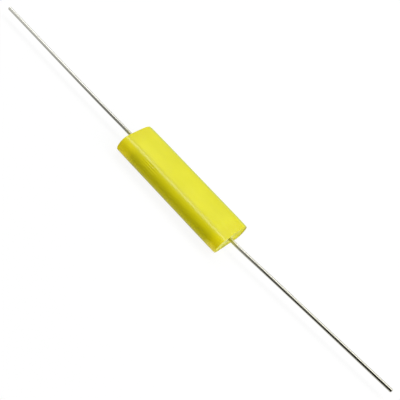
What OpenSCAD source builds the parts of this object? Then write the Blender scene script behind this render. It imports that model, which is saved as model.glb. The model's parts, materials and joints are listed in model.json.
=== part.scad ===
// Axial film capacitor: a flat oval metallised film winding, sprayed with metal at both ends,
// soldered to two tinned wire leads, wrapped in film tape and filled with resin at both ends.
// Millimetres. X runs along the leads, Y across the broad face, Z up.
// The origin is at the middle of the broad face that the body lies on.

/* [Body] */
// Length of the tape wrap, from edge to edge
body_length = 26.5; // [14:0.5:60]
// Thickness of the body across its two broad faces
body_thickness = 3.8; // [3.4:0.1:15]
// Width of the flat part of each broad face, between the round edges
flat_width = 5.2; // [0.5:0.1:25]
// Wall of the tape wrap, all turns together
wrap_wall = 0.25; // [0.05:0.01:0.5]

/* [Ends] */
// Depth of the resin face below the edge of the wrap
fill_recess = 0.2; // [0.05:0.05:1]
// Depth of the resin, from its face to the sprayed metal
fill_depth = 2.2; // [1.4:0.1:4]
// Radius of the resin fillet that climbs each lead
fill_climb = 0.15; // [0.05:0.05:0.6]
// Thickness of the sprayed metal on each end of the winding
spray_thickness = 0.4; // [0.1:0.05:1]

/* [Solder] */
// Spread of the solder on the sprayed metal, past the lead on each side
solder_spread = 0.85; // [0.6:0.05:1]
// Height of the solder along the lead
solder_height = 0.9; // [0.5:0.1:1.2]

/* [Leads] */
// Diameter of the lead wire
lead_diameter = 0.7; // [0.4:0.05:1.2]
// Length of each lead, from the edge of the wrap to its cut end, along the wire
lead_length = 38; // [12:1:60]
// Rim of the upset head on the inner end of each lead, past the wire on each side
head_rim = 0.15; // [0.05:0.05:0.3]
// Thickness of that head
head_thickness = 0.3; // [0.1:0.05:0.4]
// Angle that the left lead is bent towards +Y, in degrees
left_lead_angle = -0.4; // [-20:0.1:20]
// Angle that the right lead is bent towards +Y, in degrees
right_lead_angle = 4.7; // [-20:0.1:20]
// Radius of the left lead's bend, at the middle of the wire
left_bend_radius = 400; // [100:10:800]
// Radius of the right lead's bend, at the middle of the wire
right_bend_radius = 30; // [10:1:60]
// Straight stretch of lead between the edge of the wrap and its bend
bend_gap = 0.5; // [0.1:0.1:3]

/* [Hidden] */
$fn = 64;

tape_yellow = [0.90, 0.88, 0.10];
resin_yellow = [0.86, 0.80, 0.24];
film_grey = [0.72, 0.72, 0.70];
spray_grey = [0.62, 0.63, 0.64];
solder_grey = [0.74, 0.75, 0.76];
tinned_grey = [0.80, 0.80, 0.78];

axis_height = body_thickness / 2;
head_diameter = lead_diameter + 2 * head_rim;
solder_diameter = lead_diameter + 2 * solder_spread;
inner_thickness = body_thickness - 2 * wrap_wall;
wrap_edge_x = body_length / 2;
fill_face_x = wrap_edge_x - fill_recess;
spray_face_x = fill_face_x - fill_depth;
winding_face_x = spray_face_x - spray_thickness;
bend_start_x = wrap_edge_x + bend_gap;
bend_swell = 0.02;
bend_overlap = 0.1;

// Flat oval in the plane of a cross-section: straight broad faces and half-round edges.
module oval(thickness) {
    square([flat_width, thickness], center = true);
    for (side = [-1, 1])
        translate([side * flat_width / 2, 0])
            circle(d = thickness);
}

// Flat oval bar along the lead axis, from one place on X to another.
module oval_bar(thickness, from_x, to_x) {
    translate([from_x, 0, axis_height])
        rotate([90, 0, 90])
            linear_extrude(height = to_x - from_x)
                oval(thickness);
}

// Moves a shape that is turned about Z onto the lead axis, with its Z along X.
module on_lead_axis(from_x) {
    translate([from_x, 0, axis_height])
        rotate([0, 90, 0])
            children();
}

// Straight length of lead wire, laid along X from one place to another.
module wire(from_x, to_x) {
    translate([from_x, 0, 0])
        rotate([0, 90, 0])
            cylinder(d = lead_diameter, h = to_x - from_x);
}

// Inner end of the right lead: upset head and straight root, up to its bend.
module lead_root() {
    on_lead_axis(spray_face_x)
        cylinder(d = head_diameter, h = head_thickness);
    translate([0, 0, axis_height])
        wire(spray_face_x, bend_start_x + bend_overlap);
}

// Lead on the right: root, bend in the plane of the body, free run.
// The wire is a hair thicker through the bend, and the root and the run end inside it.
module lead(angle, radius) {
    side = angle < 0 ? -1 : 1;
    bend_length = radius * abs(angle) * PI / 180;
    run_length = lead_length - bend_gap - bend_length;
    lead_root();
    translate([bend_start_x, side * radius, axis_height]) {
        if (angle != 0)
            rotate(-90 * side)
                rotate_extrude(angle = angle)
                    translate([radius, 0])
                        circle(d = lead_diameter + bend_swell);
        rotate(angle)
            translate([0, -side * radius, 0])
                wire(-bend_overlap, run_length);
    }
}

// Cone of solder on the sprayed metal, before the lead is cut out of it.
module solder_cone() {
    on_lead_axis(spray_face_x)
        cylinder(d1 = solder_diameter, d2 = lead_diameter, h = solder_height);
}

// Resin that climbs the lead: a ring with a hollow fillet, seated on the face of the resin.
module climb_ring() {
    on_lead_axis(fill_face_x)
        rotate_extrude()
            difference() {
                square([lead_diameter / 2 + fill_climb, fill_climb]);
                translate([lead_diameter / 2 + fill_climb, fill_climb])
                    circle(r = fill_climb);
            }
}

// Tape wrap: an open oval sleeve that reaches past the winding at both ends.
module outer_wrap() {
    color(tape_yellow)
        difference() {
            oval_bar(body_thickness, -wrap_edge_x, wrap_edge_x);
            oval_bar(inner_thickness, -body_length, body_length);
        }
}

// Pressed winding of metallised film, all turns as one solid.
module film_winding() {
    color(film_grey)
        oval_bar(inner_thickness, -winding_face_x, winding_face_x);
}

// Metal sprayed on the right end of the winding.
module end_spray() {
    color(spray_grey)
        oval_bar(inner_thickness, winding_face_x, spray_face_x);
}

// Solder that holds the right lead's head to the sprayed metal.
module solder_joint() {
    color(solder_grey)
        difference() {
            solder_cone();
            lead_root();
        }
}

// Resin that closes the right end of the wrap around the lead.
module end_fill() {
    color(resin_yellow)
        difference() {
            union() {
                oval_bar(inner_thickness, spray_face_x, fill_face_x);
                climb_ring();
            }
            solder_cone();
            lead_root();
        }
}

// The left end is the right end reflected, apart from the bend of its lead.
module on_left() {
    mirror([1, 0, 0])
        children();
}

module left_lead() {
    color(tinned_grey)
        on_left()
            lead(left_lead_angle, left_bend_radius);
}

module right_lead() {
    color(tinned_grey)
        lead(right_lead_angle, right_bend_radius);
}

outer_wrap();
film_winding();
on_left() end_spray();  // left_end_spray
end_spray();  // right_end_spray
on_left() solder_joint();  // left_solder_joint
solder_joint();  // right_solder_joint
left_lead();
right_lead();
on_left() end_fill();  // left_end_fill
end_fill();  // right_end_fill
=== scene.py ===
"""Axial film capacitor: the looks of its tape wrap, resin ends and tinned leads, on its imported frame."""

import json
import math

import bmesh
import bpy
from mathutils import Matrix, Vector, noise


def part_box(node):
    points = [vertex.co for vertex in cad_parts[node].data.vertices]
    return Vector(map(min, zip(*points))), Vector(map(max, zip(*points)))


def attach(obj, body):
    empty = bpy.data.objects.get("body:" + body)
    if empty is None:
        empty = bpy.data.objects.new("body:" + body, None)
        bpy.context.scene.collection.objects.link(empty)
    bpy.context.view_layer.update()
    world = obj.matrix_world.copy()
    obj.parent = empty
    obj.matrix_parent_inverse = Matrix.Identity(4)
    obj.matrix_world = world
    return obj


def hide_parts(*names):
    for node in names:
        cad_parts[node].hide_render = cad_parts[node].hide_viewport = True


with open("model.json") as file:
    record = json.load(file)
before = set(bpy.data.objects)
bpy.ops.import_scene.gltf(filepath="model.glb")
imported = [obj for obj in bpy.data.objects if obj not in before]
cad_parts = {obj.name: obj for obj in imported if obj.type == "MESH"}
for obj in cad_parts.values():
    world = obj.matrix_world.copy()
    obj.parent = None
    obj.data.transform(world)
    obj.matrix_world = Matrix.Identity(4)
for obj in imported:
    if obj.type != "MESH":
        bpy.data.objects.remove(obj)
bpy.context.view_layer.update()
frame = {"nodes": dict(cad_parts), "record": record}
mounts = {mount["name"]: mount for mount in frame["record"]["mounts"]}

MM = 0.001
SAME_PLACE = 0.0001 * MM

# Sizes of the body, read from the frame
wrap_low, wrap_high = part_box("outer_wrap")
body_half_length = wrap_high.x
edge_radius = (wrap_high.z - wrap_low.z) / 2
flat_half_width = wrap_high.y - edge_radius
axis_height = (wrap_high.z + wrap_low.z) / 2
wrap_wall = wrap_high.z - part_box("film_winding")[1].z
winding_half_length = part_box("film_winding")[1].x
inner_radius = edge_radius - wrap_wall

# Two sizes that the frame doesn't state: the resin's climb up each lead and the thickness of a lead's head
resin_climb = 0.15 * MM
head_thickness = 0.3 * MM

# Sizes of the ends and leads, read from the frame
resin_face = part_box("right_end_fill")[1].x - resin_climb
spray_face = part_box("right_end_fill")[0].x
solder_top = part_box("right_solder_joint")[1].x
solder_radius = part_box("right_solder_joint")[1].y
lead_radius = mounts["right_lead_pin"]["dims"]["r_mm"] * MM
head_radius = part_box("right_lead")[1].z - axis_height

# Tape of the wrap: its turns end a little apart, it is drawn in past the winding, and it lies unevenly
turn_setbacks = (0, 0.06 * MM, 0.02 * MM, 0.09 * MM)
end_draw_in = 0.04 * MM
end_draw_length = 3.5 * MM
lip_draw_in = 0.03 * MM
lip_length = 0.6 * MM
bore_draw_in = 0.04 * MM
left_end_skew = 0.1 * MM
left_end_bulge = 0.15 * MM
left_corner_cut = 0.2 * MM
left_corner_share = 0.5
right_end_run = 0.06 * MM
right_front_run = 0.18 * MM
tape_step = 0.05 * MM
seam_turn = math.radians(104)
seam_ramp = math.radians(1)
ripple_depth = 0.012 * MM
ripple_size = 4 * MM
crease_middle = -5.9 * MM
crease_turn = math.radians(34)
crease_half_length = 2.6 * MM
crease_half_width = 0.8 * MM
crease_pitch = 0.42 * MM
crease_depth = 0.06 * MM

# Resin of the ends: it climbs the wrap and the lead, and sags between them
wall_climb = 0.1 * MM
wall_climb_reach = 0.9 * MM
resin_sag = 0.02 * MM
resin_swirl = 0.02 * MM
resin_swirl_size = 1.3 * MM

# Leads: a slight bow in each, most at a third of its run, and sheared tips
lead_bows = {"left": -0.14 * MM, "right": 0.05 * MM}
bow_place = 1 / 3
tip_chamfer = 0.06 * MM
tip_shear = math.tan(math.radians(8))

# Fineness of the meshes
edge_steps = 80
flat_steps = 18
length_steps = 72
lip_steps = 6
wire_sides = 48
bend_steps = 10
run_steps = 30
resin_rings = 16
ring_crowding = 1.5
card_steps = 16
sharp_angle = math.radians(40)

# What the finishes share: changes over a span, the range most of a grain lies in, white, black and gloss
RISE = (0.0, 1.0)
FADE = (1.0, 0.0)
GRAIN_RANGE = (0.3, 0.7)
EVEN = (1, 1, 1)
WHITE = (1, 1, 1, 1)
BLACK = (0, 0, 0, 1)
plastic_ior = 1.4

# Tape finish: the spans along, across and up the body over which its tones change
tape_end_span = (winding_half_length - 0.2 * MM, body_half_length - 0.7 * MM)
round_edge_span = (flat_half_width - 0.4 * MM, flat_half_width + 0.6 * MM)
painted_shade_span = (axis_height + 0.3 * MM, axis_height + 1.5 * MM)
low_rim_reflection_span = (axis_height + 0.1 * MM, axis_height + 0.55 * MM)
# Where the painted glow through the resin ends lies: low down, by the left end, and mostly on the -Y side
glow_depth_span = (axis_height + 0.6 * MM, axis_height + 1.75 * MM)
left_glow_span = (1.9 * MM - body_half_length, 4.2 * MM - body_half_length)
glow_side_span = (-1 * MM, 1 * MM)
glow_side_shares = (1.0, 0.3)
# The -Y ridge, where the flat face turns into the round edge, carries a darker band of painted shade
ridge_middle = -flat_half_width - 0.1 * MM
ridge_span = (0.2 * MM, 0.85 * MM)
ridge_run = (winding_half_length - 2 * MM, body_half_length)
ridge_run_shares = (1.0, 0.6)
# The +Y shoulder, high up where the round edge turns away from the light, takes a tone of painted shade
shoulder_span = (flat_half_width + 0.1 * MM, flat_half_width + 0.6 * MM)
shoulder_rise = (axis_height + 0.9 * MM, axis_height + 1.4 * MM)
bore_span = (inner_radius, inner_radius + 0.05 * MM)
cut_facing_span = (0.6, 0.8)
dimple_span = (axis_height - 0.3 * MM, axis_height + 0.9 * MM)

# Tape finish: tones as linear red, green and blue, and the gloss
face_tones = ((0.75, 0.72, 0.004), (0.80, 0.765, 0.005))
face_end_tone = (0.755, 0.705, 0.005)
# Round edges: a slightly darker, more olive tone than the face, painted shade
edge_shade_tones = ((0.745, 0.68, 0.003), (0.785, 0.715, 0.004))
# Lower on the round edges: darker still, painted shade
painted_shade_tone = (0.65, 0.59, 0.002)
# Lowest on the round edges: lighter again, a painted reflection of the floor
low_rim_painted_reflection_tone = (0.73, 0.665, 0.004)
# Round edges past the winding: partly the tape's warmer tone over the resin, mostly painted light glowing
# through it
resin_backed_glow_tones = ((0.90, 0.80, 0.003), (1.0, 0.85, 0.002))
ridge_painted_shade_tone = (0.67, 0.638, 0.006)
shoulder_painted_shade_tone = (0.64, 0.66, 0.04)
cut_tone = (0.72, 0.67, 0.19)
tape_roughness = (0.12, 0.18)

# Resin finish: paler towards -Y as painted reflection, deeper towards +Y as painted shade, and painted shade
# in front of the lead
resin_reflection_span = (-2.2 * MM, 2.2 * MM)
cloud_drift = (-0.6 * MM, 0.6 * MM)
root_shade_span = (lead_radius, lead_radius + 0.4 * MM)
root_shade_front = (-0.3 * MM, 0.1 * MM)
resin_painted_reflection_tones = ((0.72, 0.725, 0.07), (0.78, 0.785, 0.11))
resin_painted_shade_tones = ((0.70, 0.66, 0.01), (0.76, 0.72, 0.03))
root_painted_shade_tone = (0.34, 0.315, 0.0)
resin_roughness = (0.3, 0.45)

# Lead finish: duller by the body, darker towards +X, painted light on the right lead's root, and a painted
# reflection of the yellow end in front at the root
dull_tin_run = (body_half_length, body_half_length + 10 * MM)
dull_tin_cover = 0.4
dull_tin_roughness = 0.2
darkening_run = (-50 * MM, 50 * MM)
yellow_reflection_run = (body_half_length - 0.2 * MM, body_half_length + 3 * MM)
yellow_reflection_root = (body_half_length - 0.2 * MM, body_half_length + 1 * MM)
yellow_reflection_front = (-0.2 * MM, 0.1 * MM)
yellow_reflection_cover = 0.5
pale_tin_tones = ((0.50, 0.495, 0.45), (0.55, 0.545, 0.495))
darker_tin_tones = ((0.40, 0.39, 0.325), (0.45, 0.44, 0.37))
right_root_painted_light_tone = (0.58, 0.567, 0.49)
yellow_reflection_tones = ((0.66, 0.63, 0.14), (0.60, 0.57, 0.0))
tin_roughness = (0.17, 0.24)

# Grains: the size of their features, the detail in them, and how far they are drawn out along X, Y and Z
mottle_grain = (4 * MM, 4.0, (1.6, 1, 1))
smear_grain = (1.5 * MM, 3.0, (3, 1, 1))
dimple_grain = (0.6 * MM, 2.0, (2, 1, 1))
wrinkle_grain = (0.35 * MM, 2.0, (12, 1, 1))
peel_grain = (0.7 * MM, 2.0, (2, 1, 1))
cloud_grain = (1.2 * MM, 3.0, EVEN)
resin_gloss_grain = (0.5 * MM, 2.0, EVEN)
resin_pit_grain = (0.3 * MM, 2.0, EVEN)
tin_patch_grain = (1.5 * MM, 3.0, (4, 1, 1))
draw_line_grain = (0.08 * MM, 2.0, (60, 1, 1))
film_layer_grain = (0.12 * MM, 2.0, (1, 40, 1))
spray_crust_grain = (0.15 * MM, 4.0, EVEN)
solder_frost_grain = (0.3 * MM, 3.0, EVEN)

# Depths of the fine reliefs in the finishes
dimple_depth = 0.015 * MM
wrinkle_depth = 0.003 * MM
peel_depth = 0.005 * MM
resin_pit_depth = 0.005 * MM
draw_line_depth = 0.0005 * MM

# Camera, from the outlines of the photograph
picture_px = 400
focal_px = 811.9
body_centre_px = (181.3, 187.7)
camera_depth = 148.54 * MM
view_azimuth = math.radians(19.96)
view_elevation = math.radians(43.79)
view_roll = math.radians(-32.29)
sensor_mm = 36
nearest_shown = 1 * MM

# Studio: white paper with a faint shadow, a dim sky, and the tilt of the lamp behind
floor_half = 1.5
paper_white = (0.85, 0.85, 0.85)
paper_shadow = 0.1
paper_light = 0.95
shadow_span = (0.08, 0.3)
sky_level = 0.34
back_tilt = math.radians(28.5)

# Cards that the leads and the tape mirror
card_half_length = 0.35
card_radius = 100 * MM
card_lift = 0.02 * MM
front_card_start = -2 * MM
front_card_rise = math.radians(88)
back_card_start = 3 * MM
back_card_rise = math.radians(16)
back_card_grey = (0.35, 0.35, 0.35, 1)

# Light on the front card: towards -X, along the body, low and higher up for the right root, and from above
far_light_run = (-80 * MM, 30 * MM)
far_light_slant = 0.35
far_light_power = 2.0
body_light_span = (-8 * MM, -2 * MM)
root_light_start = body_half_length - 3 * MM
root_light_run = (body_half_length, body_half_length + 15 * MM)
root_light_span = (-16 * MM, -4 * MM)
root_light_level = 0.8
side_light_height = card_radius / 10
side_light_middle = 7 * MM
side_light_reach = (4 * MM, 10 * MM)
side_light_level = 0.25
overhead_height = card_radius / 2
overhead_span = (-0.4 * card_radius, 0.0)
overhead_level = 0.6
lead_light_middle = 30 * MM
lead_light_reach = (12 * MM, 16 * MM)
lead_light_span = (-0.85 * card_radius, -0.4 * card_radius)


def verts_of(geometry):
    return [item for item in geometry if isinstance(item, bmesh.types.BMVert)]


def edges_of(geometry):
    return [item for item in geometry if isinstance(item, bmesh.types.BMEdge)]


def finished_piece(bm, name, finish, node):
    """Turns a bmesh into a shown piece that stands for a CAD node."""
    bmesh.ops.recalc_face_normals(bm, faces=bm.faces)
    mesh = bpy.data.meshes.new(name)
    bm.to_mesh(mesh)
    bm.free()
    mesh.shade_smooth()
    mesh.set_sharp_from_angle(angle=sharp_angle)
    mesh.materials.append(finish)
    piece = bpy.data.objects.new(name, mesh)
    bpy.context.scene.collection.objects.link(piece)
    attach(piece, "root")
    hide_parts(node)


def spine_point(place):
    """Nearest point to a place on the flat strip that the oval section is rounded about."""
    return Vector((place.x, max(-flat_half_width, min(flat_half_width, place.y)), axis_height))


def oval_loop(bm, x, radius):
    """Closed oval of edges across the body, with a close pair of points where the tape ends."""
    seam_steps = round(edge_steps * seam_turn / math.pi)
    past_seam = math.pi - seam_turn - seam_ramp
    round_edges = {
        -1: [(math.pi, edge_steps)],
        1: [(seam_turn, seam_steps), (seam_ramp, 1), (past_seam, edge_steps - seam_steps)],
    }
    corner = bm.verts.new((x, -flat_half_width, axis_height + radius))
    for side, turns in round_edges.items():
        for angle, steps in turns:
            turned = bmesh.ops.spin(
                bm, geom=[corner], cent=(x, side * flat_half_width, axis_height), axis=(1, 0, 0),
                angle=angle, steps=steps)
            corner = verts_of(turned["geom_last"])[0]
        for _ in range(flat_steps):
            corner = bmesh.ops.extrude_vert_indiv(bm, verts=[corner])["verts"][0]
            corner.co.y -= side * 2 * flat_half_width / flat_steps
    bmesh.ops.remove_doubles(bm, verts=bm.verts, dist=SAME_PLACE)
    return list(bm.edges)


def grow_oval(bm, loop, x, radius):
    """Extrudes an oval loop to another place along the body and another radius."""
    grown = bmesh.ops.extrude_edge_only(bm, edges=loop)["geom"]
    for vert in verts_of(grown):
        centre = spine_point(vert.co)
        vert.co = centre + (vert.co - centre).normalized() * radius
        vert.co.x = x
    return edges_of(grown)


def grow_circle(bm, loop, step, radius):
    """Extrudes a circle of edges by a step, to another radius about its own middle."""
    grown = bmesh.ops.extrude_edge_only(bm, edges=loop)["geom"]
    verts = verts_of(grown)
    middle = sum((vert.co for vert in verts), Vector()) / len(verts)
    for vert in verts:
        vert.co = middle + (vert.co - middle).normalized() * radius + step
    return edges_of(grown)


def drawn_in(x):
    """How far the tape is drawn in near the ends, where no winding backs it."""
    end_share = max(0, abs(x) - body_half_length + end_draw_length) / end_draw_length
    lip_share = max(0, abs(x) - body_half_length + lip_length) / lip_length
    return end_draw_in * end_share ** 2 + lip_draw_in * lip_share ** 2


def perimeter_place(place):
    """Distance round the oval from the top of the -Y edge: down it, across, up the +Y edge and back."""
    centre = spine_point(place)
    half_turn = math.pi * edge_radius
    if place.y < -flat_half_width:
        return edge_radius * math.atan2(centre.y - place.y, place.z - axis_height)
    if place.y > flat_half_width:
        turned = math.atan2(place.y - centre.y, axis_height - place.z)
        return half_turn + 2 * flat_half_width + edge_radius * turned
    if place.z < axis_height:
        return half_turn + flat_half_width + place.y
    return 2 * half_turn + 3 * flat_half_width - place.y


def creases(x, round_place):
    """Depth of the fine lengthwise creases that lie side by side in a patch on the -Y edge."""
    aside = round_place - edge_radius * crease_turn
    off_patch = math.hypot((x - crease_middle) / crease_half_length, aside / crease_half_width)
    fade = max(0, 1 - off_patch ** 2)
    return crease_depth * fade * (0.5 + 0.5 * math.cos(2 * math.pi * aside / crease_pitch))


def tape_lie(place):
    """How far the outer skin lies inside the oval: the wound tape's spiral, slight ripples and creases."""
    perimeter = 2 * math.pi * edge_radius + 4 * flat_half_width
    seam = math.pi * edge_radius + 2 * flat_half_width + edge_radius * (seam_turn + seam_ramp / 2)
    round_place = perimeter_place(place)
    wound = (round_place - seam) / perimeter % 1
    ripple = ripple_depth * (0.5 + 0.5 * noise.noise(place / ripple_size))
    return tape_step * wound + ripple + creases(place.x, round_place)


def wrap_stations():
    """Places and radii round the wall of the wrap: skin, right edge turn by turn, bore, left edge."""
    lip_start = body_half_length - lip_length
    lip = [lip_start + lip_length * step / lip_steps for step in range(1, lip_steps + 1)]
    middle = [lip_start * (2 * step / length_steps - 1) for step in range(length_steps + 1)]
    skin = [(x, edge_radius - drawn_in(x)) for x in [-x for x in reversed(lip)] + middle + lip]
    lip_radius = edge_radius - drawn_in(body_half_length)
    turn_thickness = (lip_radius - inner_radius + bore_draw_in) / len(turn_setbacks)
    cut_edge = []
    for turn, setback in enumerate(turn_setbacks):
        cut_edge.append((body_half_length - setback, lip_radius - turn * turn_thickness))
        cut_edge.append((body_half_length - setback, lip_radius - (turn + 1) * turn_thickness))
    right_end = cut_edge[1:] + [(resin_face, inner_radius)]
    return skin + right_end + [(-x, radius) for x, radius in reversed(right_end)]


def left_skew(place):
    """How far the cut at the left end runs out past a square cut: aslant, bulging, round at its +Y corner."""
    end_share = max(0, -place.x - body_half_length + end_draw_length) / end_draw_length
    across = place.y / wrap_high.y
    to_corner = max(0, across - left_corner_share) / (1 - left_corner_share)
    aslant = left_end_skew * (0.5 + across / 2)
    return end_share * (aslant + left_end_bulge * (1 - across ** 2) - left_corner_cut * to_corner)


def right_skew(place):
    """How far the cut at the right end runs out past a square cut: all round, more at its upper -Y edge."""
    end_share = max(0, place.x - body_half_length + end_draw_length) / end_draw_length
    to_front = max(0, -place.y / wrap_high.y)
    to_top = (place.z - wrap_low.z) / (wrap_high.z - wrap_low.z)
    return end_share * (right_end_run + right_front_run * to_front * to_top)


def tape_wrap(finish):
    """Wound tape: an open sleeve with the edges of its turns at both ends and the tape's end on its back."""
    bm = bmesh.new()
    stations = wrap_stations()
    first = oval_loop(bm, *stations[0])
    loop = first
    for x, radius in stations[1:]:
        loop = grow_oval(bm, loop, x, radius)
    bmesh.ops.bridge_loops(bm, edges=first + loop)
    for vert in bm.verts:
        outward = vert.co - spine_point(vert.co)
        share = (outward.length - inner_radius) / (edge_radius - drawn_in(vert.co.x) - inner_radius)
        vert.co -= outward.normalized() * tape_lie(vert.co) * max(0, share)
        vert.co.x += right_skew(vert.co) - left_skew(vert.co)
    finished_piece(bm, "tape_wrap", finish, "outer_wrap")


def resin_height(place, wall_gap):
    """Height of the resin's face over its level: up the wrap, up the lead, sagged and swirled between."""
    lead_gap = Vector((place.y, place.z - axis_height)).length - lead_radius
    at_wall = max(0, 1 - wall_gap / wall_climb_reach)
    at_lead = max(0, 1 - lead_gap / resin_climb)
    clear_of_both = (1 - at_wall) * (1 - at_lead)
    swirl = resin_swirl * noise.noise(place / resin_swirl_size)
    return wall_climb * at_wall ** 2 + resin_climb * at_lead ** 2 + clear_of_both * (swirl - resin_sag)


def resin_end(name, node, side, finish):
    """Resin that fills one end of the wrap around the lead and its solder."""
    bm = bmesh.new()
    back = oval_loop(bm, spray_face, inner_radius)
    loop = grow_oval(bm, back, resin_face, inner_radius)
    rim = {vert: vert.co.copy() for edge in loop for vert in edge.verts}
    for vert in rim:
        vert.co.x += resin_height(vert.co, 0)
    centre = Vector((resin_face, 0, axis_height))
    for ring in range(1, resin_rings + 1):
        share = 1 - (1 - ring / resin_rings) ** ring_crowding
        grown = bmesh.ops.extrude_edge_only(bm, edges=loop)["geom"]
        loop = edges_of(grown)
        places = {}
        for vert in verts_of(grown):
            neighbours = [edge.other_vert(vert) for edge in vert.link_edges]
            places[vert] = next(rim[known] for known in neighbours if known in rim)
        for vert, start in places.items():
            goal = centre + (start - centre).normalized() * lead_radius
            vert.co = start.lerp(goal, share)
            vert.co.x = resin_face + resin_height(vert.co, (vert.co - start).length)
        rim = places
    bore = grow_circle(bm, loop, Vector(), lead_radius)
    for edge in bore:
        for vert in edge.verts:
            vert.co.x = solder_top
    foot = grow_circle(bm, bore, Vector((spray_face - solder_top, 0, 0)), solder_radius)
    bmesh.ops.bridge_loops(bm, edges=back + foot)
    bmesh.ops.scale(bm, verts=bm.verts, vec=(side, 1, 1))
    finished_piece(bm, name, finish, node)


def bowed(share):
    """Share of a lead's bow at a share of its run: all of it at the bow's place, none at both ends."""
    fall = (1 - bow_place) / bow_place
    most = bow_place * (1 - bow_place) ** fall
    return share * (1 - share) ** fall / most


def lead_wire(name, node, side, mount, bow, finish):
    """Tinned lead: upset head, straight root, bend, slightly bowed run and a sheared tip."""
    run_length = mount["dims"]["length_mm"] * MM
    run_axis = Vector((abs(mount["axis"][0]), mount["axis"][1], 0))
    run_middle = Vector((abs(mount["pos_m"][0]), mount["pos_m"][1], axis_height))
    run_start = run_middle - run_axis * run_length / 2
    bend_angle = math.atan2(run_axis.y, run_axis.x)
    bend_radius = run_start.y / (1 - math.cos(bend_angle))
    bend_start = run_start.x - bend_radius * math.sin(bend_angle)
    along = Vector((1, 0, 0))
    bm = bmesh.new()
    across = Matrix.Translation((spray_face, 0, axis_height)) @ Matrix.Rotation(math.pi / 2, 4, "Y")
    bmesh.ops.create_circle(bm, segments=wire_sides, radius=head_radius, cap_ends=True, matrix=across)
    loop = grow_circle(bm, list(bm.edges), along * head_thickness, head_radius)
    loop = grow_circle(bm, loop, Vector(), lead_radius)
    loop = grow_circle(bm, loop, along * (bend_start - spray_face - head_thickness), lead_radius)
    bent = bmesh.ops.spin(
        bm, geom=loop, cent=(bend_start, bend_radius, axis_height), axis=(0, 0, 1),
        angle=bend_angle, steps=bend_steps)
    loop = edges_of(bent["geom_last"])
    run_aside = Vector((-run_axis.y, run_axis.x, 0))
    forward = (run_length - 2 * tip_chamfer) / run_steps
    for step in range(run_steps):
        sideways = bow * (bowed((step + 1) / run_steps) - bowed(step / run_steps))
        loop = grow_circle(bm, loop, run_axis * forward + run_aside * sideways, lead_radius)
    tip = grow_circle(bm, loop, run_axis * tip_chamfer, lead_radius - tip_chamfer)
    for vert in {vert for edge in loop + tip for vert in edge.verts}:
        vert.co += run_axis * tip_shear * (vert.co.z - axis_height - lead_radius)
    bmesh.ops.contextual_create(bm, geom=tip)
    bmesh.ops.scale(bm, verts=bm.verts, vec=(side, 1, 1))
    finished_piece(bm, name, finish, node)


def new_finish(name, **shader_values):
    """Material with its shader's constant values set."""
    finish = bpy.data.materials.new(name)
    finish.use_nodes = True
    shader = finish.node_tree.nodes["Principled BSDF"]
    for socket, value in shader_values.items():
        shader.inputs[socket.replace("_", " ")].default_value = value
    return finish


def add_node(finish, kind, inputs=(), **settings):
    """Node in a finish or the world, with inputs given as plain values or as the outputs that feed them."""
    node = finish.node_tree.nodes.new(kind)
    for setting, value in settings.items():
        setattr(node, setting, value)
    for socket, value in dict(inputs).items():
        if isinstance(value, bpy.types.NodeSocket):
            finish.node_tree.links.new(value, node.inputs[socket])
        else:
            node.inputs[socket].default_value = value
    return node


def feed(finish, socket, output):
    """Links an output to one of the shader's inputs."""
    finish.node_tree.links.new(output, finish.node_tree.nodes["Principled BSDF"].inputs[socket])


def part_place(finish):
    return add_node(finish, "ShaderNodeTexCoord").outputs["Object"]


def axes_of(finish, vector):
    """Outputs X, Y and Z of a vector."""
    return add_node(finish, "ShaderNodeSeparateXYZ", {"Vector": vector}).outputs


def grain(finish, place, size, detail, stretch):
    """Noise with features of about this size, drawn out along the axes by the stretch."""
    scale = tuple(1 / (size * axis) for axis in stretch)
    mapped = add_node(finish, "ShaderNodeMapping", {"Vector": place, "Scale": scale}).outputs["Vector"]
    inputs = {"Vector": mapped, "Scale": 1.0, "Detail": detail}
    return add_node(finish, "ShaderNodeTexNoise", inputs).outputs["Fac"]


def between(finish, value, span, ends=RISE):
    """Smooth change from the first end to the second as an output runs over a span."""
    inputs = {"Value": value}
    inputs["From Min"], inputs["From Max"] = span
    inputs["To Min"], inputs["To Max"] = ends
    return add_node(finish, "ShaderNodeMapRange", inputs, interpolation_type="SMOOTHSTEP").outputs["Result"]


def math_of(finish, operation, first, second=0.0):
    return add_node(finish, "ShaderNodeMath", {0: first, 1: second}, operation=operation).outputs["Value"]


def product_of(finish, first, *others):
    """Product of outputs and plain values."""
    for other in others:
        first = math_of(finish, "MULTIPLY", first, other)
    return first


def largest_of(finish, first, *others):
    """Largest of outputs and plain values."""
    for other in others:
        first = math_of(finish, "MAXIMUM", first, other)
    return first


def all_but(finish, share, cover):
    """What is left of 1 where a share covers this much of it."""
    return math_of(finish, "SUBTRACT", 1.0, product_of(finish, share, cover))


def apart(finish, value, middle):
    """Distance of an output from a middle, on either side."""
    return math_of(finish, "ABSOLUTE", math_of(finish, "SUBTRACT", value, middle))


def distance_of(finish, first, second):
    """Distance from two outputs that are measured square to each other."""
    squares = [math_of(finish, "POWER", side, 2.0) for side in (first, second)]
    return math_of(finish, "SQRT", math_of(finish, "ADD", *squares))


def blend(finish, share, first, second):
    """Mix of two colours by an output."""
    inputs = {"Factor": share, "A": first, "B": second}
    node = add_node(finish, "ShaderNodeMix", data_type="RGBA")
    for socket in node.inputs:
        if socket.enabled and socket.name in inputs:
            value = inputs[socket.name]
            if isinstance(value, bpy.types.NodeSocket):
                finish.node_tree.links.new(value, socket)
            else:
                socket.default_value = (*value, 1)
    return next(socket for socket in node.outputs if socket.enabled)


def relief(finish, height, depth, under=None):
    """Bump of this depth from an output, over another bump."""
    inputs = {"Height": height, "Distance": depth, "Strength": 1.0}
    if under:
        inputs["Normal"] = under
    return add_node(finish, "ShaderNodeBump", inputs).outputs["Normal"]


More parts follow.
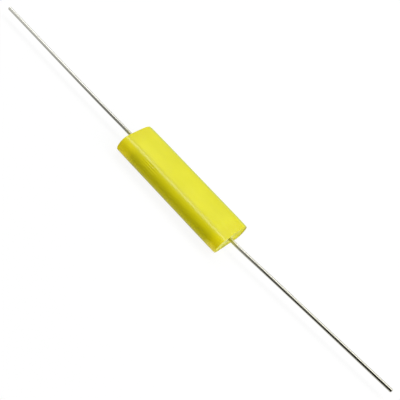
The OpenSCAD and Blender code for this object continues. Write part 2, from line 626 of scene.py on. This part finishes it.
def tape_edge_colour(finish, axes, mottle, past_winding):
    """Round edges: painted shade, deeper low down, a painted floor reflection at the bottom, and a warmer
    tone over the resin with painted glow past the winding and by the left end.
    """
    shaded = blend(finish, mottle, *edge_shade_tones)
    shaded = blend(finish, between(finish, axes["Z"], painted_shade_span, FADE), shaded, painted_shade_tone)
    shaded = blend(finish, between(finish, axes["Z"], low_rim_reflection_span, FADE), shaded, low_rim_painted_reflection_tone)
    resin_backed_glow = blend(finish, between(finish, axes["Z"], glow_depth_span, FADE), *resin_backed_glow_tones)
    glow_end = largest_of(finish, past_winding, between(finish, axes["X"], left_glow_span, FADE))
    glow_side = between(finish, axes["Y"], glow_side_span, glow_side_shares)
    return blend(finish, product_of(finish, glow_end, glow_side), shaded, resin_backed_glow)


def tape_cut_share(finish, axes, from_centre):
    """1 on the cut edges of the tape's turns and in its bore, 0 on its skin."""
    facing = add_node(finish, "ShaderNodeNewGeometry").outputs["True Normal"]
    end_facing = math_of(finish, "ABSOLUTE", axes_of(finish, facing)["X"])
    past_flat = largest_of(finish, math_of(finish, "SUBTRACT", from_centre, flat_half_width), 0.0)
    from_spine = distance_of(finish, past_flat, math_of(finish, "SUBTRACT", axes["Z"], axis_height))
    in_bore = between(finish, from_spine, bore_span, FADE)
    return largest_of(finish, between(finish, end_facing, cut_facing_span), in_bore)


def tape_relief(finish, place, axes):
    """Fine lengthwise wrinkles over a soft peel, and dimples low on the round edges."""
    peel = relief(finish, grain(finish, place, *peel_grain), peel_depth)
    wrinkles = relief(finish, grain(finish, place, *wrinkle_grain), wrinkle_depth, peel)
    low_down = between(finish, axes["Z"], dimple_span, FADE)
    dimples = product_of(finish, low_down, grain(finish, place, *dimple_grain))
    return relief(finish, dimples, dimple_depth, wrinkles)


def yellow_tape():
    """Glossy yellow film tape: mottled, painted shade on its round edges, its -Y ridge and its greener +Y
    shoulder, painted glow at the ends, pale at cuts.
    """
    finish = new_finish("yellow_tape", IOR=plastic_ior)
    place = part_place(finish)
    axes = axes_of(finish, place)
    from_middle = math_of(finish, "ABSOLUTE", axes["X"])
    from_centre = math_of(finish, "ABSOLUTE", axes["Y"])
    past_winding = between(finish, from_middle, tape_end_span)
    mottle = between(finish, grain(finish, place, *mottle_grain), GRAIN_RANGE)
    face_colour = blend(finish, past_winding, blend(finish, mottle, *face_tones), face_end_tone)
    edge_colour = tape_edge_colour(finish, axes, mottle, past_winding)
    # The round edges take their own tone, with its painted shade, painted floor reflection and painted glow
    colour = blend(finish, between(finish, from_centre, round_edge_span), face_colour, edge_colour)
    # Painted shade: a darker band along the -Y ridge, less towards the ends
    by_ridge = between(finish, apart(finish, axes["Y"], ridge_middle), ridge_span, FADE)
    along_ridge = between(finish, from_middle, ridge_run, ridge_run_shares)
    colour = blend(finish, product_of(finish, by_ridge, along_ridge), colour, ridge_painted_shade_tone)
    # Painted shade: darker and greener on the +Y shoulder, high up
    past_flat = between(finish, axes["Y"], shoulder_span)
    high_up = between(finish, axes["Z"], shoulder_rise)
    colour = blend(finish, product_of(finish, past_flat, high_up), colour, shoulder_painted_shade_tone)
    feed(finish, "Base Color", blend(finish, tape_cut_share(finish, axes, from_centre), colour, cut_tone))
    smear = grain(finish, place, *smear_grain)
    feed(finish, "Roughness", between(finish, smear, GRAIN_RANGE, tape_roughness))
    feed(finish, "Normal", tape_relief(finish, place, axes))
    return finish


def cast_resin():
    """Yellow cast resin: clouded, paler towards -Y as painted reflection, deeper towards +Y as painted shade,
    olive in front of the lead as painted shade.
    """
    finish = new_finish("cast_resin", IOR=plastic_ior)
    place = part_place(finish)
    axes = axes_of(finish, place)
    cloud = grain(finish, place, *cloud_grain)
    drift = between(finish, cloud, GRAIN_RANGE, cloud_drift)
    # Painted reflection towards -Y and painted shade towards +Y, with a clouded border
    resin_reflection_share = between(finish, math_of(finish, "ADD", axes["Y"], drift), resin_reflection_span, FADE)
    deep = blend(finish, cloud, *resin_painted_shade_tones)
    pale = blend(finish, cloud, *resin_painted_reflection_tones)
    from_axis = distance_of(finish, axes["Y"], math_of(finish, "SUBTRACT", axes["Z"], axis_height))
    # Painted shade: dark olive on the resin in front of the lead's root
    near_lead = between(finish, from_axis, root_shade_span, FADE)
    in_front = between(finish, axes["Y"], root_shade_front, FADE)
    root_shade_share = product_of(finish, near_lead, in_front)
    feed(finish, "Base Color", blend(finish, root_shade_share, blend(finish, resin_reflection_share, deep, pale), root_painted_shade_tone))
    gloss = grain(finish, place, *resin_gloss_grain)
    feed(finish, "Roughness", between(finish, gloss, GRAIN_RANGE, resin_roughness))
    pits = grain(finish, place, *resin_pit_grain)
    feed(finish, "Normal", relief(finish, pits, resin_pit_depth))
    return finish


def tinned_copper():
    """Tin over drawn copper wire: lines along it, dull patches, duller by the body, darker towards +X,
    painted light on the right root, painted yellow reflection on the front of its root.
    """
    finish = new_finish("tinned_copper")
    place = part_place(finish)
    axes = axes_of(finish, place)
    from_middle = math_of(finish, "ABSOLUTE", axes["X"])
    dull = between(finish, from_middle, dull_tin_run, FADE)
    # Painted reflection of the yellow end on the front of each lead's root, with less metal there
    by_body = between(finish, from_middle, yellow_reflection_run, FADE)
    in_front = between(finish, axes["Y"], yellow_reflection_front, FADE)
    yellow_reflection = product_of(finish, by_body, in_front)
    bright = all_but(finish, dull, dull_tin_cover)
    unreflected_share = all_but(finish, yellow_reflection, yellow_reflection_cover)
    feed(finish, "Metallic", product_of(finish, bright, unreflected_share))
    patches = grain(finish, place, *tin_patch_grain)
    pale_tin = blend(finish, patches, *pale_tin_tones)
    darker_tin = blend(finish, patches, *darker_tin_tones)
    # The tin turns darker towards +X
    tin = blend(finish, between(finish, axes["X"], darkening_run), pale_tin, darker_tin)
    # Painted light: a paler tone on the right lead's root, by the body
    on_right = math_of(finish, "GREATER_THAN", axes["X"], 0.0)
    tin = blend(finish, product_of(finish, dull, on_right), tin, right_root_painted_light_tone)
    at_root = between(finish, from_middle, yellow_reflection_root, FADE)
    reflection_colour = blend(finish, at_root, *yellow_reflection_tones)
    feed(finish, "Base Color", blend(finish, yellow_reflection, tin, reflection_colour))
    polish = between(finish, patches, GRAIN_RANGE, tin_roughness)
    dulled = product_of(finish, dull, dull_tin_roughness)
    feed(finish, "Roughness", math_of(finish, "ADD", polish, dulled))
    draw_lines = grain(finish, place, *draw_line_grain)
    feed(finish, "Normal", relief(finish, draw_lines, draw_line_depth))
    return finish


def inner_metal(name, metallic, texture, tones, roughness, depth):
    """Metal of an inner piece, with one grain that sets its tone, its roughness and its relief."""
    finish = new_finish(name, Metallic=metallic)
    pattern = grain(finish, part_place(finish), *texture)
    feed(finish, "Base Color", blend(finish, pattern, *tones))
    feed(finish, "Roughness", between(finish, pattern, GRAIN_RANGE, roughness))
    feed(finish, "Normal", relief(finish, pattern, depth))
    return finish


def metallised_film():
    """Edges of the wound film on the winding's faces, and its grey metal sheen."""
    return inner_metal(
        "metallised_film", metallic=0.7, texture=film_layer_grain,
        tones=((0.52, 0.52, 0.50), (0.72, 0.72, 0.70)), roughness=(0.3, 0.5), depth=0.01 * MM)


def sprayed_metal():
    """Dull grey sprayed metal with a grainy crust."""
    return inner_metal(
        "sprayed_metal", metallic=0.8, texture=spray_crust_grain,
        tones=((0.42, 0.43, 0.44), (0.66, 0.67, 0.68)), roughness=(0.55, 0.75), depth=0.04 * MM)


def satin_solder():
    """Satin solder with a faint frosty texture."""
    return inner_metal(
        "satin_solder", metallic=1.0, texture=solder_frost_grain,
        tones=((0.66, 0.67, 0.68), (0.80, 0.81, 0.82)), roughness=(0.25, 0.42), depth=0.01 * MM)


def background_share(finish):
    """1 for rays that show the background: seen by the camera, mirrored or looked at through glass."""
    rays = add_node(finish, "ShaderNodeLightPath").outputs
    return largest_of(finish, rays["Is Camera Ray"], rays["Is Glossy Ray"], rays["Is Transmission Ray"])


def studio_world():
    """White background, and a dim even light from all round."""
    world = bpy.data.worlds.new("studio_world")
    world.use_nodes = True
    bpy.context.scene.world = world
    sky = world.node_tree.nodes["Background"]
    sky.inputs["Color"].default_value = WHITE
    level = add_node(world, "ShaderNodeMapRange", {"Value": background_share(world), "To Min": sky_level})
    world.node_tree.links.new(level.outputs["Result"], sky.inputs["Strength"])


def stage_object(name, bm, material):
    """Object of the stage from a bmesh."""
    mesh = bpy.data.meshes.new(name)
    bm.to_mesh(mesh)
    bm.free()
    mesh.materials.append(material)
    item = bpy.data.objects.new(name, mesh)
    bpy.context.scene.collection.objects.link(item)
    return item


def white_paper():
    """White floor paper. Where the background shows it glows, so it reads white around a faint shadow."""
    paper = new_finish("white_paper", Roughness=1.0, Specular_IOR_Level=0.0, Emission_Color=WHITE)
    shown = background_share(paper)
    place = part_place(paper)
    from_part = add_node(paper, "ShaderNodeVectorMath", {0: place}, operation="LENGTH").outputs["Value"]
    shadow_share = between(paper, from_part, shadow_span, (paper_shadow, 0.0))
    glow = all_but(paper, shadow_share, paper_light)
    feed(paper, "Emission Strength", product_of(paper, shown, glow))
    feed(paper, "Base Color", blend(paper, shown, paper_white, shadow_share))
    return paper


def floor():
    """Floor of white paper."""
    bm = bmesh.new()
    bmesh.ops.create_grid(bm, x_segments=1, y_segments=1, size=floor_half)
    stage_object("floor", bm, white_paper())


def matt_card(name, **glow):
    """Black card without gloss, which shows only its own glow."""
    return new_finish(name, Specular_IOR_Level=0.0, Base_Color=BLACK, **glow)


def graded_card():
    """Dark card with light towards -X, along the body, for the right lead's root and from above."""
    card = matt_card("graded_card", Emission_Color=WHITE)
    axes = axes_of(card, part_place(card))
    aslant = math_of(card, "SUBTRACT", axes["X"], product_of(card, axes["Y"], far_light_slant))
    far_light = math_of(card, "POWER", between(card, aslant, far_light_run, FADE), far_light_power)
    within_body = math_of(card, "LESS_THAN", math_of(card, "ABSOLUTE", axes["X"]), body_half_length)
    body_light = product_of(card, between(card, axes["Y"], body_light_span), within_body)
    past_body = math_of(card, "GREATER_THAN", axes["X"], root_light_start)
    by_root = between(card, axes["X"], root_light_run, FADE)
    under_root = between(card, axes["Y"], root_light_span, (0.0, root_light_level))
    root_light = product_of(card, past_body, by_root, under_root)
    off_floor = math_of(card, "GREATER_THAN", axes["Z"], side_light_height)
    from_side_light = apart(card, axes["X"], side_light_middle)
    side_patch = between(card, from_side_light, side_light_reach, (side_light_level, 0.0))
    side_light = product_of(card, off_floor, side_patch)
    raised = math_of(card, "GREATER_THAN", axes["Z"], overhead_height)
    overhead = between(card, axes["Y"], overhead_span, (0.0, overhead_level))
    along_lead = between(card, apart(card, axes["X"], lead_light_middle), lead_light_reach, FADE)
    over_lead = product_of(card, along_lead, between(card, axes["Y"], lead_light_span))
    top_light = product_of(card, raised, largest_of(card, overhead, over_lead))
    light = largest_of(card, far_light, body_light, root_light, side_light, top_light)
    feed(card, "Emission Strength", light)
    return card


def grey_card():
    """Plain grey card."""
    return matt_card("grey_card", Emission_Color=back_card_grey, Emission_Strength=1.0)


def mirrored_card(name, start_y, rise, material):
    """Card that only shows mirrored in the object: along the floor from the body, then curved up."""
    bm = bmesh.new()
    corner = bm.verts.new((-card_half_length, start_y, card_lift))
    edge_of_floor = bmesh.ops.extrude_vert_indiv(bm, verts=[corner])["verts"][0]
    edge_of_floor.co.y = math.copysign(card_radius, start_y)
    bmesh.ops.spin(
        bm, geom=[edge_of_floor], cent=(-card_half_length, 0, card_lift), axis=(1, 0, 0),
        angle=math.copysign(rise, start_y), steps=card_steps)
    sides = bmesh.ops.extrude_edge_only(bm, edges=list(bm.edges))["geom"]
    bmesh.ops.translate(bm, verts=verts_of(sides), vec=(2 * card_half_length, 0, 0))
    card = stage_object(name, bm, material)
    card.visible_camera = False
    card.visible_diffuse = False
    card.visible_transmission = False
    card.visible_shadow = False


def softbox(name, aim, distance, size, radiance):
    """Soft lamp that shines on the body from a direction, with this brightness."""
    lamp = bpy.data.lights.new(name, "AREA")
    lamp.shape = "RECTANGLE"
    lamp.size, lamp.size_y = size
    lamp.energy = radiance * math.pi * lamp.size * lamp.size_y
    holder = bpy.data.objects.new(name, lamp)
    turn = Vector(aim).to_track_quat("Z", "Y").to_matrix().to_4x4()
    holder.matrix_world = turn @ Matrix.Translation((0, 0, distance))
    holder.visible_camera = False
    bpy.context.scene.collection.objects.link(holder)


def photo_camera():
    """Camera at the photograph's place, with its roll and framing."""
    aside = Vector((math.cos(view_azimuth), math.sin(view_azimuth), 0))
    back = Vector((
        math.sin(view_azimuth) * math.cos(view_elevation),
        -math.cos(view_azimuth) * math.cos(view_elevation),
        math.sin(view_elevation)))
    above = back.cross(aside)
    up = above * math.cos(view_roll) + aside * math.sin(view_roll)
    right = up.cross(back)
    offset = Vector(body_centre_px) - Vector((picture_px / 2, picture_px / 2))
    body_centre = Vector((0, 0, axis_height))
    sight = right * offset.x / focal_px - up * offset.y / focal_px - back
    camera = bpy.data.cameras.new("camera")
    camera.sensor_width = sensor_mm
    camera.lens = sensor_mm * focal_px / picture_px
    camera.clip_start = nearest_shown
    holder = bpy.data.objects.new("camera", camera)
    turn = Matrix((right, up, back)).transposed().to_4x4()
    holder.matrix_world = Matrix.Translation(body_centre - sight * camera_depth) @ turn
    bpy.context.scene.collection.objects.link(holder)
    bpy.context.scene.camera = holder


bpy.context.scene.view_settings.view_transform = "Standard"
photo_camera()
studio_world()
floor()
mirrored_card("front_card", front_card_start, front_card_rise, graded_card())
mirrored_card("back_card", back_card_start, back_card_rise, grey_card())
back_aim = (0, math.sin(back_tilt), math.cos(back_tilt))
softbox("back_softbox", aim=back_aim, distance=0.5, size=(1.3, 0.235), radiance=3.05)
softbox("right_softbox", aim=(0.9, 0.05, 0.35), distance=0.45, size=(0.4, 0.4), radiance=1.8)

tape_wrap(yellow_tape())
resin = cast_resin()
tin = tinned_copper()
for hand, side in (("left", -1), ("right", 1)):
    pin = mounts[f"{hand}_lead_pin"]
    resin_end(f"{hand}_resin_end", f"{hand}_end_fill", side, resin)
    lead_wire(f"{hand}_lead_wire", f"{hand}_lead", side, pin, lead_bows[hand], tin)

inner_finishes = {
    "film_winding": metallised_film(),
    "end_spray": sprayed_metal(),
    "solder_joint": satin_solder(),
}
for node, part in frame["nodes"].items():
    for ending, finish in inner_finishes.items():
        if node.endswith(ending):
            part.data.materials.clear()
            part.data.materials.append(finish)
